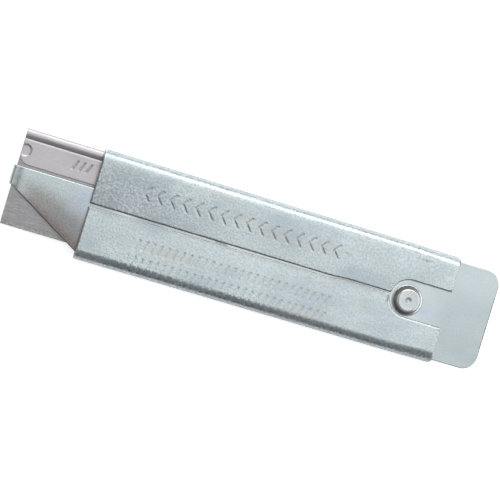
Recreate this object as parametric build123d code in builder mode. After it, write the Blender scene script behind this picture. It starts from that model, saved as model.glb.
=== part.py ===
"""Retractable box cutter that holds a single-edge razor blade. Millimetres.

Frame: the cutter lies on its back. +X runs from the blade to the tail, +Y towards the blade's spine,
+Z out of the face that carries the seam and the button. The origin is the centre of the sleeve's back face.
At rest the blade is out, as in use.
"""

import os

from build123d import *

# Sleeve: one folded sheet, its edges meeting in a seam on the front face.
SLEEVE_LENGTH = 74.0
SLEEVE_WIDTH = 22.2
SLEEVE_DEPTH = 4.0
SHEET = 0.5
SLEEVE_BEND = 1.95  # outer radius of the four long bends
SEAM_Y = 0.1  # the flanges meet a little off the centre line, and the slot is cut along their seam
SEAM_GAP_MOUTH = 0.6
SEAM_GAP_REAR = 0.3
SLOT_WIDTH = 7.5
SLOT_END_X = 25.0

# Razor blade and its spine: the standard single-edge size.
BLADE_LENGTH = 38.1
BLADE_HEIGHT = 19.05  # from the top of the spine to the cutting edge
BLADE_THICK = 0.23
BEVEL_HEIGHT = 0.8
EDGE_THICK = 0.02
SPINE_HEIGHT = 6.9
SPINE_SHEET = 0.34
SPINE_CORNER = 2.0
BEAD_RADIUS = 0.72
BEAD_NECK = 0.5  # hollow fillet between the bead and the flat legs
BLADE_OUT = 15.3  # how far the blade stands out of the sleeve at rest
SPINE_CLEARANCE = 0.1  # between the spine and the sleeve's side wall
BLADE_Z = SLEEVE_DEPTH / 2

# Carrier: one strip folded round the blade's front edge.
CARRIER_SHEET = 0.5
CARRIER_WIDTH = 20.5
TAIL_OUT = 9.2
TAIL_CORNER = 3.0
TAIL_EDGE = 0.3  # rolled-over long edges, which clear the sleeve's bends
TAIL_DROP = 0.48  # gap between the sleeve's front wall and the tail plate
FOLD_GAP = 0.1  # between the blade's front edge and the inside of the fold
LEAF_GAP = 0.05  # between the blade and each leaf
LEAF_TOP_Y = 3.1
FOLD_LOW_Y = -0.75
FLAP_MEETS_SIDE_X = 0.9  # inside the mouth
NOTCH_PLAY = 0.3  # between the blade's rear end and the step that stops it
JOG_START = 2.5
JOG_RUN = 2.5
JOG_RADIUS = 1.2
BACK_LEAF_RUN = 5.0  # how far the back leaf runs on behind the blade

# Stop rivet through the tail plate and the friction spring.
BUTTON_X = 28.8
BUTTON_Y = -0.22  # set a little towards the cutting edge
HEAD_BASE_RADIUS = 3.25
HEAD_TOP_RADIUS = 2.4
HEAD_HEIGHT = 1.2
HEAD_EDGE = 0.2
SHANK_RADIUS = 1.2
SHANK_PLAY = 0.03
LOWER_HEAD_RADIUS = 2.0
LOWER_HEAD_HEIGHT = 0.5
PUNCH_RADIUS = 0.5
PUNCH_DEPTH = 0.3

SPRING_SHEET = 0.3
SPRING_WIDTH = 8.0
SPRING_TAIL = 3.6  # spring behind the rivet
SPRING_FLAT = 3.6  # flat stretch in front of the rivet
SPRING_REACH = 16.0  # rivet to the point that rubs
SPRING_TIP = 20.0  # rivet to the turned-up tip
SPRING_TIP_RISE = 0.7
SPRING_CLEARANCE = 0.1
SPRING_BEND = 3.0
SPRING_CORNER = 1.5

# Places that follow from the sizes above.
MOUTH_X = -SLEEVE_LENGTH / 2
REAR_X = SLEEVE_LENGTH / 2
HALF_WIDTH = SLEEVE_WIDTH / 2
SLOT_CENTRE_X = SLOT_END_X + SLOT_WIDTH / 2
BLADE_TOP_Y = HALF_WIDTH - SHEET - SPINE_CLEARANCE
BLADE_FRONT_X = MOUTH_X - BLADE_OUT
BLADE_REAR_X = BLADE_FRONT_X + BLADE_LENGTH
EDGE_Y = BLADE_TOP_Y - BLADE_HEIGHT
BEAD_Y = BLADE_TOP_Y - BEAD_RADIUS
SPINE_LOW_Y = BLADE_TOP_Y - SPINE_HEIGHT
SPINE_HALF = BLADE_THICK / 2 + SPINE_SHEET
LEAF_MID = BLADE_THICK / 2 + LEAF_GAP + CARRIER_SHEET / 2  # from the blade's middle to a leaf's middle
TAIL_TOP_Z = SLEEVE_DEPTH - SHEET - TAIL_DROP
TAIL_LOW_Z = TAIL_TOP_Z - CARRIER_SHEET
TAIL_MID_Z = TAIL_TOP_Z - CARRIER_SHEET / 2
TAIL_END_X = REAR_X + TAIL_OUT
FOLD_CENTRE_X = BLADE_FRONT_X - FOLD_GAP - CARRIER_SHEET / 2 + LEAF_MID
NOTCH_X = BLADE_REAR_X + NOTCH_PLAY
JOG_X = NOTCH_X + JOG_START
SPRING_MID_Z = TAIL_LOW_Z - SPRING_SHEET / 2
SPRING_RUB_Z = SHEET + SPRING_CLEARANCE + SPRING_SHEET / 2
LOWER_HEAD_TOP_Z = TAIL_LOW_Z - SPRING_SHEET
FAR = 2 * SLEEVE_LENGTH


def write(piece: Part, name: str) -> None:
    """Label a finished piece and write it as parts/NAME.step."""
    piece.label = name
    export_step(piece, f"parts/{name}.step")


# Sleeve -------------------------------------------------------------------------------------------------

with BuildPart() as sleeve:
    with BuildSketch(Plane.YZ.offset(MOUTH_X)):
        with Locations((0, SLEEVE_DEPTH / 2)):
            RectangleRounded(SLEEVE_WIDTH, SLEEVE_DEPTH, SLEEVE_BEND)
            RectangleRounded(
                SLEEVE_WIDTH - 2 * SHEET,
                SLEEVE_DEPTH - 2 * SHEET,
                SLEEVE_BEND - SHEET,
                mode=Mode.SUBTRACT,
            )
    extrude(amount=SLEEVE_LENGTH)
    with BuildSketch(Plane.XY.offset(SLEEVE_DEPTH - 2 * SHEET)):
        with BuildLine():
            Polyline(
                (MOUTH_X, SEAM_Y - SEAM_GAP_MOUTH / 2),
                (SLOT_CENTRE_X, SEAM_Y - SEAM_GAP_REAR / 2),
                (SLOT_CENTRE_X, SEAM_Y + SEAM_GAP_REAR / 2),
                (MOUTH_X, SEAM_Y + SEAM_GAP_MOUTH / 2),
                close=True,
            )
        make_face()
        with Locations((SLOT_CENTRE_X, SEAM_Y)):
            Circle(SLOT_WIDTH / 2)
            Rectangle(FAR, SLOT_WIDTH, align=(Align.MIN, Align.CENTER))
    extrude(amount=3 * SHEET, mode=Mode.SUBTRACT)

# Carrier: the folded strip's side view is drawn out to full width, then trimmed in plan -----------------

with BuildPart() as carrier:
    with BuildSketch(Plane.XZ.offset(-CARRIER_WIDTH / 2)):
        with BuildLine():
            FilletPolyline(
                (TAIL_END_X, TAIL_MID_Z),
                (JOG_X + JOG_RUN, TAIL_MID_Z),
                (JOG_X, BLADE_Z + LEAF_MID),
                (FOLD_CENTRE_X, BLADE_Z + LEAF_MID),
                radius=JOG_RADIUS,
            )
            ThreePointArc(
                (FOLD_CENTRE_X, BLADE_Z + LEAF_MID),
                (FOLD_CENTRE_X - LEAF_MID, BLADE_Z),
                (FOLD_CENTRE_X, BLADE_Z - LEAF_MID),
            )
            Line((FOLD_CENTRE_X, BLADE_Z - LEAF_MID), (NOTCH_X + BACK_LEAF_RUN, BLADE_Z - LEAF_MID))
        trace(line_width=CARRIER_SHEET)
    extrude(amount=CARRIER_WIDTH)
    with BuildSketch():
        with BuildLine():
            Polyline(
                (-FAR, LEAF_TOP_Y),
                (NOTCH_X, LEAF_TOP_Y),
                (NOTCH_X, SLEEVE_WIDTH),
                (-FAR, SLEEVE_WIDTH),
                close=True,
            )
        make_face()
        with BuildLine():
            Polyline(
                (-FAR, FOLD_LOW_Y),
                (BLADE_FRONT_X, FOLD_LOW_Y),
                (MOUTH_X + FLAP_MEETS_SIDE_X, -CARRIER_WIDTH / 2),
                (MOUTH_X + FLAP_MEETS_SIDE_X, -SLEEVE_WIDTH),
                (-FAR, -SLEEVE_WIDTH),
                close=True,
            )
        make_face()
        with Locations((BUTTON_X, BUTTON_Y)):
            Circle(SHANK_RADIUS + SHANK_PLAY)
    extrude(amount=SLEEVE_DEPTH, mode=Mode.SUBTRACT)
    fillet(carrier.edges().filter_by(Axis.Z).group_by(Axis.X)[-1], radius=TAIL_CORNER)
    with BuildSketch(Plane.YZ.offset(-FAR / 2)):
        with Locations((0, TAIL_TOP_Z - SLEEVE_DEPTH / 2)):
            RectangleRounded(CARRIER_WIDTH, SLEEVE_DEPTH, TAIL_EDGE)
    extrude(amount=FAR, mode=Mode.INTERSECT)

# Stop rivet: button on top of the tail plate, shank through it, head closed under the spring --------------

with BuildPart() as rivet:
    with BuildSketch(Plane.XZ.offset(-BUTTON_Y)):
        with BuildLine():
            Polyline(
                (BUTTON_X, TAIL_TOP_Z + HEAD_HEIGHT - PUNCH_DEPTH),
                (BUTTON_X + PUNCH_RADIUS, TAIL_TOP_Z + HEAD_HEIGHT),
                (BUTTON_X + HEAD_TOP_RADIUS, TAIL_TOP_Z + HEAD_HEIGHT),
                (BUTTON_X + HEAD_BASE_RADIUS, TAIL_TOP_Z),
                (BUTTON_X + SHANK_RADIUS, TAIL_TOP_Z),
                (BUTTON_X + SHANK_RADIUS, LOWER_HEAD_TOP_Z),
                (BUTTON_X + LOWER_HEAD_RADIUS, LOWER_HEAD_TOP_Z),
                (BUTTON_X + LOWER_HEAD_RADIUS, LOWER_HEAD_TOP_Z - LOWER_HEAD_HEIGHT),
                (BUTTON_X, LOWER_HEAD_TOP_Z - LOWER_HEAD_HEIGHT),
                close=True,
            )
        make_face()
    revolve(axis=Axis((BUTTON_X, BUTTON_Y, 0), (0, 0, 1)))
    rings = rivet.edges().filter_by(GeomType.CIRCLE)
    rim = rings.filter_by(lambda ring: abs(ring.radius - HEAD_TOP_RADIUS) < HEAD_EDGE)
    fillet(rim.group_by(Axis.Z)[-1], radius=HEAD_EDGE)

# Friction spring: flat round the rivet, bowed down to the sleeve's back, tip turned up -------------------

with BuildPart() as spring:
    with BuildSketch(Plane.XZ.offset(-SPRING_WIDTH / 2)):
        with BuildLine():
            FilletPolyline(
                (BUTTON_X + SPRING_TAIL, SPRING_MID_Z),
                (BUTTON_X - SPRING_FLAT, SPRING_MID_Z),
                (BUTTON_X - SPRING_REACH, SPRING_RUB_Z),
                (BUTTON_X - SPRING_TIP, SPRING_RUB_Z + SPRING_TIP_RISE),
                radius=SPRING_BEND,
            )
        trace(line_width=SPRING_SHEET)
    extrude(amount=SPRING_WIDTH)
    with BuildSketch():
        with Locations((BUTTON_X, BUTTON_Y)):
            Circle(SHANK_RADIUS + SHANK_PLAY)
    extrude(amount=SLEEVE_DEPTH, mode=Mode.SUBTRACT)
    ends = spring.edges().filter_by(lambda e: e.length < 2 * SPRING_SHEET)
    fillet(ends.group_by(Axis.X)[-1] + ends.group_by(Axis.X)[0], radius=SPRING_CORNER)

# Razor blade: thin plate with a ground edge --------------------------------------------------------------

with BuildPart() as blade:
    with BuildSketch(Plane.YZ.offset(BLADE_FRONT_X)):
        with BuildLine():
            Polyline(
                (BEAD_Y, BLADE_Z - BLADE_THICK / 2),
                (BEAD_Y, BLADE_Z + BLADE_THICK / 2),
                (EDGE_Y + BEVEL_HEIGHT, BLADE_Z + BLADE_THICK / 2),
                (EDGE_Y, BLADE_Z + EDGE_THICK / 2),
                (EDGE_Y, BLADE_Z - EDGE_THICK / 2),
                (EDGE_Y + BEVEL_HEIGHT, BLADE_Z - BLADE_THICK / 2),
                close=True,
            )
        make_face()
    extrude(amount=BLADE_LENGTH)

# Spine: a strip folded over the blade's top, hollow bead along the fold ----------------------------------

with BuildPart() as spine:
    with BuildSketch(Plane.YZ.offset(BLADE_FRONT_X)) as spine_section:
        with Locations((SPINE_LOW_Y, BLADE_Z)):
            Rectangle(BEAD_Y - SPINE_LOW_Y, 2 * SPINE_HALF, align=(Align.MIN, Align.CENTER))
        with Locations((BEAD_Y, BLADE_Z)):
            Circle(BEAD_RADIUS)
        necks = spine_section.vertices().filter_by(lambda v: v.Y < BEAD_Y).sort_by(Axis.Y)[-2:]
        fillet(necks, radius=BEAD_NECK)
        with Locations((SPINE_LOW_Y, BLADE_Z)):
            Rectangle(
                BEAD_Y - SPINE_LOW_Y,
                BLADE_THICK,
                align=(Align.MIN, Align.CENTER),
                mode=Mode.SUBTRACT,
            )
        with Locations((BEAD_Y, BLADE_Z)):
            Circle(BEAD_RADIUS - SPINE_SHEET, mode=Mode.SUBTRACT)
    extrude(amount=BLADE_LENGTH)
    low_corners = spine.edges().filter_by(Axis.Z).group_by(Axis.Y)[0]
    fillet(low_corners, radius=SPINE_CORNER)

os.makedirs("parts", exist_ok=True)
write(sleeve.part, "sleeve")
write(carrier.part, "blade_carrier")
write(rivet.part, "stop_rivet")
write(spring.part, "friction_spring")
write(blade.part, "razor_blade")
write(spine.part, "blade_spine")
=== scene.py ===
"""Looks of a retractable box cutter: a folded zinc-plated sleeve, a sliding carrier and a razor blade.

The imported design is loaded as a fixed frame, and each of its pieces is made again here as a finely rounded
sheet or turned part with its own metal finish. Lengths are in metres; sizes written as so many MM are
millimetres. +X runs from the blade to the tail, +Y towards the blade's spine, +Z out of the seam face.
"""

from __future__ import annotations

import logging
import math
from dataclasses import dataclass
from enum import Enum

import bpy
import numpy as np
from mathutils import Matrix, Vector

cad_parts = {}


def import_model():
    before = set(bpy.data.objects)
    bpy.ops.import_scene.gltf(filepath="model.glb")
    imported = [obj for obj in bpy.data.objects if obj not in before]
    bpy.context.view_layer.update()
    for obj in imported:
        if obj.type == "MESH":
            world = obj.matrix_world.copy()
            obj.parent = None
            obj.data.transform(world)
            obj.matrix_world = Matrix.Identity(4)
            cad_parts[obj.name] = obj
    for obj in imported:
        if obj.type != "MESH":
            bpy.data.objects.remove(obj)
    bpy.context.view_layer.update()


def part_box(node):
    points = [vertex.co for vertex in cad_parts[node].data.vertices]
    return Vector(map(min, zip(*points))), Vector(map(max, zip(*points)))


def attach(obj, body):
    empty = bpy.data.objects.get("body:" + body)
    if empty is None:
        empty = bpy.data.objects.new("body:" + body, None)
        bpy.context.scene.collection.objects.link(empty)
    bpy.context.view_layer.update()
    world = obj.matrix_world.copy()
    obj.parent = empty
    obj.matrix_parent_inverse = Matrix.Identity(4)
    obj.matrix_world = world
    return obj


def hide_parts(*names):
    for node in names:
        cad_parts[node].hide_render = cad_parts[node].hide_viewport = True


MM = 0.001
Array = np.ndarray
Span = tuple[float, float]
Colour = tuple[float, float, float]
Socket = bpy.types.NodeSocket

log = logging.getLogger("box_cutter")


class Body(Enum):
    """The two bodies that slide on each other."""

    SLEEVE = "sleeve_body"
    CARRIER = "carrier_body"


# ---------------------------------------------------------------------------------------------------------
# Numbers and curves
# ---------------------------------------------------------------------------------------------------------


def smooth(t: Array | float) -> Array | float:
    """Ease from 0 to 1 as t goes from 0 to 1: three t squared less two t cubed, held flat outside."""
    t = np.clip(t, 0.0, 1.0)
    return t * t * (3.0 - 2.0 * t)


def bell(t: Array) -> Array:
    """1 at t = 0, falling off to both sides as e to the power of minus t squared."""
    return np.exp(-(t**2))


def spot(x: Array, y: Array, centre: Span, reach: Span) -> Array:
    """A soft oval spot: the bell of the distance from its centre, counted in its reach along X and Y."""
    return bell(np.hypot((x - centre[0]) / reach[0], (y - centre[1]) / reach[1]))


def corner_cut(from_end: Array, radius: float) -> Array:
    """How much a quarter-circle corner takes off a strip's width at each distance from the strip's end.

    It is the radius less the circle's height, radius times the root of one less the squared share of the
    radius that is left to go.

    Args:
        from_end: distance from the end.
        radius: of the corner.

    Returns:
        What is cut off, which is 0 beyond the corner.
    """
    into = np.clip(1.0 - from_end / radius, 0.0, 1.0)
    return radius * (1.0 - np.sqrt(1.0 - into**2))


def spaced(*stretches: tuple[float, float, int]) -> Array:
    """Evenly spaced numbers along consecutive stretches.

    Args:
        stretches: (start, end, steps) of each stretch, each starting where the last one ends.

    Returns:
        The numbers of all stretches in order, with no number twice.
    """
    runs = [np.linspace(start, end, steps, endpoint=False) for start, end, steps in stretches]
    return np.concatenate([*runs, [stretches[-1][1]]])


def quarter_turn(start: float, end: float, steps: int) -> Array:
    """Numbers from start to end that crowd towards end as the sine of an angle does, end included."""
    angle = np.linspace(0.0, math.pi / 2, steps + 1)
    return start + (end - start) * np.sin(angle)


def arc(centre: Span, radius: float, start: float, end: float, steps: int) -> Array:
    """Points round an arc, (steps + 1) x 2: centre plus radius times (cosine, sine) of the angle."""
    angle = np.radians(np.linspace(start, end, steps + 1))
    return np.stack([centre[0] + radius * np.cos(angle), centre[1] + radius * np.sin(angle)], axis=-1)


def bent_line(corners: list[Span], radius: float, steps: int) -> Array:
    """A line of straight runs whose corners are rounded by arcs.

    Each corner's arc starts and ends at radius times the tangent of half the turn from the corner, and its
    centre lies on the side that the line turns to.

    Args:
        corners: the ends of the line and the sharp corners between them.
        radius: of the arc at each corner.
        steps: how many pieces each arc has.

    Returns:
        The points of the line, n x 2: both ends and the points of each arc.
    """
    points = [np.array(corners[:1])]
    for before, corner, after in zip(corners, corners[1:], corners[2:]):
        came = np.subtract(corner, before) / np.linalg.norm(np.subtract(corner, before))
        goes = np.subtract(after, corner) / np.linalg.norm(np.subtract(after, corner))
        turn = math.atan2(came[0] * goes[1] - came[1] * goes[0], float(came @ goes))
        start = np.asarray(corner) - came * radius * math.tan(abs(turn) / 2)
        inward = np.array([-came[1], came[0]]) * math.copysign(1.0, turn)
        centre = start + inward * radius
        swept = np.linspace(0.0, turn, steps + 1)[:, None]
        spoke = start - centre
        turned = np.array([-spoke[1], spoke[0]])
        points.append(centre + spoke * np.cos(swept) + turned * np.sin(swept))
    points.append(np.array(corners[-1:]))
    return np.concatenate(points)


def refined(line: Array, longest: float) -> Array:
    """The same line with extra points on its straight runs, so that no step is longer than longest."""
    runs = []
    for start, end in zip(line[:-1], line[1:]):
        steps = max(1, math.ceil(float(np.linalg.norm(end - start)) / longest))
        runs.append(start + (end - start) * (np.arange(steps) / steps)[:, None])
    return np.concatenate([*runs, line[-1:]])


# ---------------------------------------------------------------------------------------------------------
# Meshes
# ---------------------------------------------------------------------------------------------------------


def unit(vectors: Array) -> Array:
    """Each vector divided by its own length."""
    return vectors / np.maximum(np.linalg.norm(vectors, axis=-1, keepdims=True), 1e-12)


def grid_points(x: Array, y: Array, z: Array | float) -> Array:
    """X, Y and Z drawn out to one grid and put together, rows x columns x 3."""
    return np.stack(np.broadcast_arrays(x, y, z), axis=-1)


def mesh_points(made: bpy.types.Object) -> Array:
    """The mesh's points, n x 3."""
    found = np.empty(len(made.data.vertices) * 3, np.float32)
    made.data.vertices.foreach_get("co", found)
    return found.reshape(-1, 3).astype(float)


def mark_points(made: bpy.types.Object, name: str, values: Array) -> None:
    """Store one number per point on a mesh under an attribute's name."""
    attribute = made.data.attributes.new(name, "FLOAT", "POINT")
    attribute.data.foreach_set("value", values.astype(np.float32))


def mesh_object(name: str, points: Array, faces: Array) -> bpy.types.Object:
    """Make a smooth-shaded mesh object whose faces point outwards.

    The signed volume is the sum over faces of corner one dot (corner two cross corner three) and of the
    same for the second half of each quad; where it is negative, every face is turned over.

    Args:
        name: of the object and its mesh.
        points: n x 3.
        faces: m x 4 point numbers; a triangle repeats its last corner.

    Returns:
        The linked object, at the origin.
    """
    a, b, c, d = (points[faces[:, k]] for k in range(4))
    volume = np.einsum("ij,ij->", a, np.cross(b, c)) + np.einsum("ij,ij->", a, np.cross(c, d))
    if volume < 0:
        faces = faces[:, ::-1]
    mesh = bpy.data.meshes.new(name)
    polygons = [list(dict.fromkeys(face)) for face in faces.tolist()]
    mesh.from_pydata(points.tolist(), [], polygons)
    mesh.polygons.foreach_set("use_smooth", np.ones(len(mesh.polygons), dtype=bool))
    mesh.update()
    made = bpy.data.objects.new(name, mesh)
    bpy.context.scene.collection.objects.link(made)
    return made


@dataclass
class SheetMetal:
    """A closed sheet of metal with rounded edges, built round its middle surface.

    The outer skin is the middle surface moved out by half the thickness along its normals, less the
    relief; the inner skin is moved in by the same. Round the perimeter the skins stop short and are joined
    by rings that turn through a quarter ellipse (roll by rim), run down the edge and turn back in.

    Attributes:
        middle: rows x columns x 3 points of the middle surface.
        thickness: one number, or one per point.
        rim: how deep the rolled-over edge is, at most nine tenths of half the thickness.
        roll: how far in from the edge it starts, as one number or one per point.
        relief: depth of marks pressed into the outer skin, rows x columns.
        turn_steps: pieces of each quarter ellipse.
        hold: flat strip between the skins' own points and the rolled edge.
        fade_steps: rows over which the skins' points are drawn in from the edge.
        cut_turn: degrees of the quarter ellipse over which the rubbed edge turns into the cut face.
        sharpest: smallest cosine of half a corner's turn that the inset is lengthened for.
    """

    middle: Array
    thickness: float | Array
    rim: float
    roll: float | Array
    relief: Array | None = None
    turn_steps: int = 4
    hold: float = 0.04 * MM
    fade_steps: int = 5
    cut_turn: Span = (30.0, 65.0)
    sharpest: float = 0.6

    def normals(self) -> Array:
        """Unit normals of the middle surface: the cross product of its two directions of travel."""
        down = np.gradient(self.middle, axis=0)
        along = np.gradient(self.middle, axis=1)
        return unit(np.cross(along, down))

    def perimeter(self) -> Array:
        """Point numbers once round the grid's outer edge."""
        rows, columns = self.middle.shape[:2]
        number = np.arange(rows * columns).reshape(rows, columns)
        return np.concatenate([number[0], number[1:, -1], number[-1, -2::-1], number[-2:0:-1, 0]])

    def drawn_in(self, shift: Array) -> Array:
        """Carry a shift given round the perimeter into the grid, fading out over a few rows and columns.

        The shift of a point is the sum of those of the four nearest edge points, each times its fade, less
        the corners' shifts times both their fades, so that the perimeter keeps exactly its own.

        Args:
            shift: rows x columns x 3, of which only the perimeter is read.

        Returns:
            The shift of every point.
        """
        fades = []
        for count in self.middle.shape[:2]:
            step = np.arange(count) / min(self.fade_steps, count // 2)
            fades.append((np.clip(1.0 - step, 0.0, 1.0), np.clip(1.0 - step[::-1], 0.0, 1.0)))
        (top, bottom), (left, right) = fades
        field = np.zeros_like(self.middle)
        for weight, row in ((top, 0), (bottom, -1)):
            field += weight[:, None, None] * shift[row][None]
        for weight, column in ((left, 0), (right, -1)):
            field += weight[None, :, None] * shift[:, column][:, None]
        for across, row in ((top, 0), (bottom, -1)):
            for along, column in ((left, 0), (right, -1)):
                field -= (across[:, None] * along[None])[..., None] * shift[row, column]
        return field

    def build(self, name: str) -> bpy.types.Object:
        """Make the sheet's mesh object.

        The attribute wear_and_highlight is 1 on its rounded edges, where they are rubbed, and
        cut_edge_and_shade is 1 on the upright face that the shears left between them, which is painted dark
        as shade.
        """
        rows, columns = self.middle.shape[:2]
        count = rows * columns
        middle = self.middle.reshape(count, 3)
        normal = self.normals().reshape(count, 3)
        half = np.broadcast_to(self.thickness, (rows, columns)).reshape(count) / 2
        loop = self.perimeter()
        outward = self._outward(middle, normal, loop)
        rim = np.minimum(self.rim, 0.9 * half[loop])
        roll = np.broadcast_to(self.roll, (rows, columns)).reshape(count)[loop]

        shift = np.zeros((count, 3))
        shift[loop] = -outward * (roll + self.hold)[:, None]
        shifted = middle + self.drawn_in(shift.reshape(rows, columns, 3)).reshape(count, 3)
        pressed = np.zeros(count) if self.relief is None else self.relief.reshape(count)
        outer = shifted + normal * (half - pressed)[:, None]
        inner = shifted - normal * half[:, None]

        turns = np.radians(np.linspace(0.0, 90.0, self.turn_steps + 1))
        rubbed_to, cut_from = np.radians(self.cut_turn)
        rings, cuts = [], []
        for side, order in ((1.0, turns), (-1.0, turns[::-1])):
            for angle in order:
                cuts.append(np.full(len(loop), smooth((angle - rubbed_to) / (cut_from - rubbed_to))))
                inset = roll * (1.0 - math.sin(angle))
                level = side * (half[loop] - rim * (1.0 - math.cos(angle)))
                level -= 0.5 * (1.0 + side) * pressed[loop]
                rings.append(middle[loop] - outward * inset[:, None] + normal[loop] * level[:, None])
        points = np.concatenate([outer, inner, *rings])

        number = np.arange(count).reshape(rows, columns)
        skin = np.stack([number[:-1, :-1], number[1:, :-1], number[1:, 1:], number[:-1, 1:]], axis=-1)
        skin = skin.reshape(-1, 4)
        ring_numbers = 2 * count + np.arange(len(rings) * len(loop)).reshape(len(rings), len(loop))
        bands = [loop, *ring_numbers, loop + count]
        walls = [
            np.stack([upper, np.roll(upper, -1), np.roll(lower, -1), lower], axis=-1)
            for upper, lower in zip(bands[:-1], bands[1:])
        ]
        faces = np.concatenate([skin, skin[:, ::-1] + count, *walls])
        cut = np.concatenate([np.zeros(2 * count), *cuts])
        wear = np.concatenate([np.zeros(2 * count), *(1.0 - ring for ring in cuts)])
        made = mesh_object(name, points, faces)
        mark_points(made, "wear_and_highlight", wear)
        mark_points(made, "cut_edge_and_shade", cut)
        return made

    def _outward(self, middle: Array, normal: Array, loop: Array) -> Array:
        """Directions out of the sheet at its perimeter, longer at corners so that the inset stays even."""
        ahead = unit(np.roll(middle[loop], -1, axis=0) - middle[loop])
        behind = np.roll(ahead, 1, axis=0)
        along = unit(ahead + behind)
        outward = unit(np.cross(along, normal[loop]))
        mitre = np.maximum(np.einsum("ij,ij->i", along, ahead), self.sharpest)
        return outward / mitre[:, None]


def turned(name: str, outline: Array, axis: Vector, segments: int) -> bpy.types.Object:
    """A turned part: an outline of (radius, height) carried once round an upright axis.

    A point is the axis plus radius times (cosine, sine) of the angle, at its height. The outline starts and
    ends on the axis, where one point closes each end.

    Args:
        name: of the object.
        outline: n x 2, the first and last radius being zero.
        axis: a point on the axis; heights are counted from it.
        segments: round the circle.

    Returns:
        The linked object.
    """
    angle = np.linspace(0.0, 2 * math.pi, segments, endpoint=False)
    radius, height = outline[1:-1, 0, None], outline[1:-1, 1, None]
    rings = grid_points(radius * np.cos(angle), radius * np.sin(angle), height).reshape(-1, 3)
    poles = np.array([[0.0, 0.0, outline[0, 1]], [0.0, 0.0, outline[-1, 1]]])
    levels = len(outline) - 2
    number = np.arange(levels * segments).reshape(levels, segments)
    step = np.roll(number, -1, axis=1)
    sides = np.stack([number[:-1], step[:-1], step[1:], number[1:]], axis=-1).reshape(-1, 4)
    top, bottom = levels * segments, levels * segments + 1
    first = np.stack([np.full(segments, top), step[0], number[0], number[0]], axis=-1)
    last = np.stack([np.full(segments, bottom), number[-1], step[-1], step[-1]], axis=-1)
    points = np.concatenate([rings, poles]) + np.array(axis)
    faces = np.concatenate([sides[:, ::-1], first[:, [0, 2, 1, 1]], last[:, [0, 2, 1, 1]]])
    return mesh_object(name, points, faces)


# ---------------------------------------------------------------------------------------------------------
# Finishes
# ---------------------------------------------------------------------------------------------------------

class Pattern:
    """Node helpers for one material, reading the piece's own coordinates in millimetres."""

    def __init__(self, name: str, metallic: float = 1.0) -> None:
        """Start a material with one Principled shader."""
        self.material = bpy.data.materials.new(name)
        self.material.use_nodes = True
        self.tree = self.material.node_tree
        self.tree.nodes.clear()
        self.shader = self.tree.nodes.new("ShaderNodeBsdfPrincipled")
        self.shader.inputs["Metallic"].default_value = metallic
        output = self.tree.nodes.new("ShaderNodeOutputMaterial")
        self.tree.links.new(self.shader.outputs["BSDF"], output.inputs["Surface"])
        place = self.tree.nodes.new("ShaderNodeTexCoord")
        self.millimetres = self.stretched(place.outputs["Object"], (1 / MM, 1 / MM, 1 / MM))

    def stretched(self, vector: Socket, factors: tuple[float, float, float]) -> Socket:
        """The vector with each axis multiplied by its factor."""
        node = self.tree.nodes.new("ShaderNodeVectorMath")
        node.operation = "MULTIPLY"
        self.tree.links.new(vector, node.inputs[0])
        node.inputs[1].default_value = factors
        return node.outputs["Vector"]

    def noise(self, per_mm: tuple[float, float, float], detail: float, roughness: float = 0.5) -> Socket:
        """Fractal noise with so many cells per millimetre along each axis."""
        node = self.tree.nodes.new("ShaderNodeTexNoise")
        node.inputs["Scale"].default_value = 1.0
        node.inputs["Detail"].default_value = detail
        node.inputs["Roughness"].default_value = roughness
        self.tree.links.new(self.stretched(self.millimetres, per_mm), node.inputs["Vector"])
        return node.outputs["Fac"]

    def attribute(self, name: str) -> Socket:
        """A number stored on the mesh's points."""
        node = self.tree.nodes.new("ShaderNodeAttribute")
        node.attribute_name = name
        return node.outputs["Fac"]

    def ranged(self, value: Socket, over: Span, to: Span) -> Socket:
        """The value eased from the first to the second number of to over a stretch, held flat outside."""
        node = self.tree.nodes.new("ShaderNodeMapRange")
        node.interpolation_type = "SMOOTHSTEP"
        self.tree.links.new(value, node.inputs["Value"])
        for socket, number in zip(("From Min", "From Max", "To Min", "To Max"), (*over, *to)):
            node.inputs[socket].default_value = number
        return node.outputs["Result"]

    def blended(self, share: Socket, first: Socket | Colour, second: Socket | Colour) -> Socket:
        """The first colour where share is 0, the second where it is 1."""
        node = self.tree.nodes.new("ShaderNodeMix")
        node.data_type = "RGBA"
        self.tree.links.new(share, node.inputs["Factor"])
        sockets = [s for s in node.inputs if s.type == "RGBA"]
        for socket, colour in zip(sockets, (first, second)):
            if isinstance(colour, tuple):
                socket.default_value = (*colour, 1.0)
            else:
                self.tree.links.new(colour, socket)
        return next(s for s in node.outputs if s.type == "RGBA")

    def combined(self, operation: str, first: Socket, second: Socket | float) -> Socket:
        """The two values put together by a Math operation."""
        node = self.tree.nodes.new("ShaderNodeMath")
        node.operation = operation
        self.tree.links.new(first, node.inputs[0])
        if isinstance(second, float):
            node.inputs[1].default_value = second
        else:
            self.tree.links.new(second, node.inputs[1])
        return node.outputs["Value"]

    def drive(self, socket: str, value: Socket) -> None:
        """Link a value to one of the shader's sockets."""
        self.tree.links.new(value, self.shader.inputs[socket])

    def bump(self, height: Socket, depth: float) -> None:
        """Raise the surface by height times depth metres."""
        node = self.tree.nodes.new("ShaderNodeBump")
        node.inputs["Distance"].default_value = depth
        node.inputs["Strength"].default_value = 1.0
        self.tree.links.new(height, node.inputs["Height"])
        self.tree.links.new(node.outputs["Normal"], self.shader.inputs["Normal"])


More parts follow.
